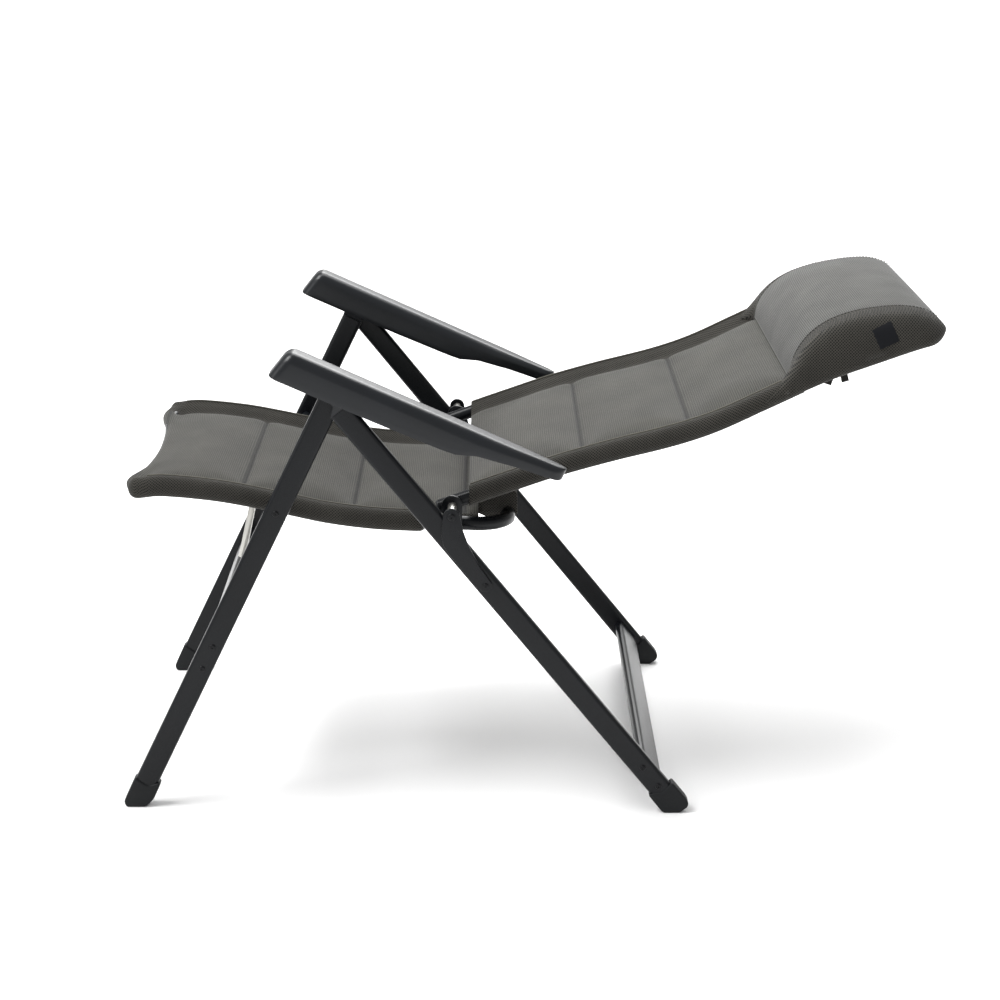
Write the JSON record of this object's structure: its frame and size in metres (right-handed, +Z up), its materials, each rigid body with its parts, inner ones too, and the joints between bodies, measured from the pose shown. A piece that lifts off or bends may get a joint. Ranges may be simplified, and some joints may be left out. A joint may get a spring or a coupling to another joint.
{
  "type": "reclining camping chair",
  "caption": "Folding reclining camping chair: padded fabric seat and back with head cushion, flat-tube A-frame legs, armrests with recline notches and a folding linkage.",
  "frame": {"origin": "on the floor, under the middle of the length and of the width", "axes": "+X runs from the front feet to the head cushion, +Y to the sitter's right, +Z up"},
  "size_m": [1.208, 0.6452, 0.7625],
  "materials": {
    "frame_paint": "satin anthracite powder coat",
    "foot_plastic": "fine matte",
    "moulded_plastic": "fine grained matte",
    "zinc_steel": "plain zinc plate",
    "bolt_steel": "black oxide",
    "cover_fabric": "ribbed cloth centre with open spacer-mesh sides",
    "head_fabric": "ribbed cloth over soft foam",
    "tab_fabric": "plain dark woven tab"
  },
  "bodies": {
    "rear_frame": {"rear_leg_left": "frame_paint", "rear_leg_right": "frame_paint", "rear_foot_left": "foot_plastic", "rear_foot_right": "foot_plastic", "rear_plug_left": "moulded_plastic", "rear_plug_right": "moulded_plastic", "apex_washer_left": "bolt_steel", "apex_washer_right": "bolt_steel", "rear_stretcher": "frame_paint"},
    "front_frame": {"front_leg_left": "frame_paint", "front_leg_right": "frame_paint", "front_foot_left": "foot_plastic", "front_foot_right": "foot_plastic", "front_plug_left": "moulded_plastic", "front_plug_right": "moulded_plastic", "seat_bolt_left": "bolt_steel", "seat_bolt_right": "bolt_steel", "seat_spacer_left": "bolt_steel", "seat_spacer_right": "bolt_steel", "front_stretcher": "frame_paint", "front_stay": "zinc_steel"},
    "seat": {"seat_frame": "frame_paint", "seat_cushion": "cover_fabric", "junction_loop": "cover_fabric", "seat_bracket_left": "moulded_plastic", "seat_bracket_right": "moulded_plastic"},
    "back": {"back_frame": "frame_paint", "back_cushion": "cover_fabric", "head_cushion": "head_fabric", "side_tab": "tab_fabric", "back_end_plug_left": "moulded_plastic", "back_end_plug_right": "moulded_plastic", "ratchet_pin_left": "bolt_steel", "ratchet_pin_right": "bolt_steel", "hinge_washer_left": "bolt_steel", "hinge_washer_right": "bolt_steel"},
    "arm_left": {"hinge_arm_left": "frame_paint", "hinge_spacer_left": "zinc_steel", "hinge_bolt_left": "bolt_steel", "arm_rivet_left": "bolt_steel"},
    "armrest_left": {"armrest_left": "moulded_plastic", "ratchet_rack_left": "moulded_plastic"},
    "arm_right": {"hinge_arm_right": "frame_paint", "hinge_spacer_right": "zinc_steel", "hinge_bolt_right": "bolt_steel", "arm_rivet_right": "bolt_steel"},
    "armrest_right": {"armrest_right": "moulded_plastic", "ratchet_rack_right": "moulded_plastic"}
  },
  "joints": [
    {"name": "fold", "type": "hinge", "parent": "rear_frame", "child": "front_frame", "pos_m": [-0.28101, 0, 0.652], "axis": [0, -1, 0], "range_deg": [0, 58]},
    {"name": "seat_pivot", "type": "hinge", "parent": "front_frame", "child": "seat", "pos_m": [-0.36341, 0, 0.4608], "axis": [0, -1, 0], "range_deg": [-92, 0]},
    {"name": "arm_left_pivot", "type": "hinge", "parent": "rear_frame", "child": "arm_left", "pos_m": [-0.06001, -0.319, 0.361], "axis": [0, -1, 0], "range_deg": [-124, 0]},
    {"name": "arm_right_pivot", "type": "hinge", "parent": "rear_frame", "child": "arm_right", "pos_m": [-0.06001, 0.319, 0.361], "axis": [0, -1, 0], "range_deg": [-124, 0]},
    {"name": "recline", "type": "hinge", "parent": "seat", "child": "back", "pos_m": [-0.10861, 0, 0.4652], "axis": [0, -1, 0], "range_deg": [0, 148]},
    {"name": "armrest_left_pivot", "type": "hinge", "parent": "rear_frame", "child": "armrest_left", "pos_m": [-0.28101, -0.296, 0.652], "axis": [0, -1, 0], "range_deg": [0, 18]},
    {"name": "armrest_right_pivot", "type": "hinge", "parent": "rear_frame", "child": "armrest_right", "pos_m": [-0.28101, 0.296, 0.652], "axis": [0, -1, 0], "range_deg": [0, 18]}
  ],
  "couplings": [
    {"joint": "seat_pivot", "follows": "fold", "ratio": -1.565},
    {"joint": "arm_left_pivot", "follows": "fold", "ratio": -2.108},
    {"joint": "arm_right_pivot", "follows": "fold", "ratio": -2.108},
    {"joint": "armrest_left_pivot", "follows": "recline", "ratio": 0.117},
    {"joint": "armrest_right_pivot", "follows": "recline", "ratio": 0.117}
  ]
}
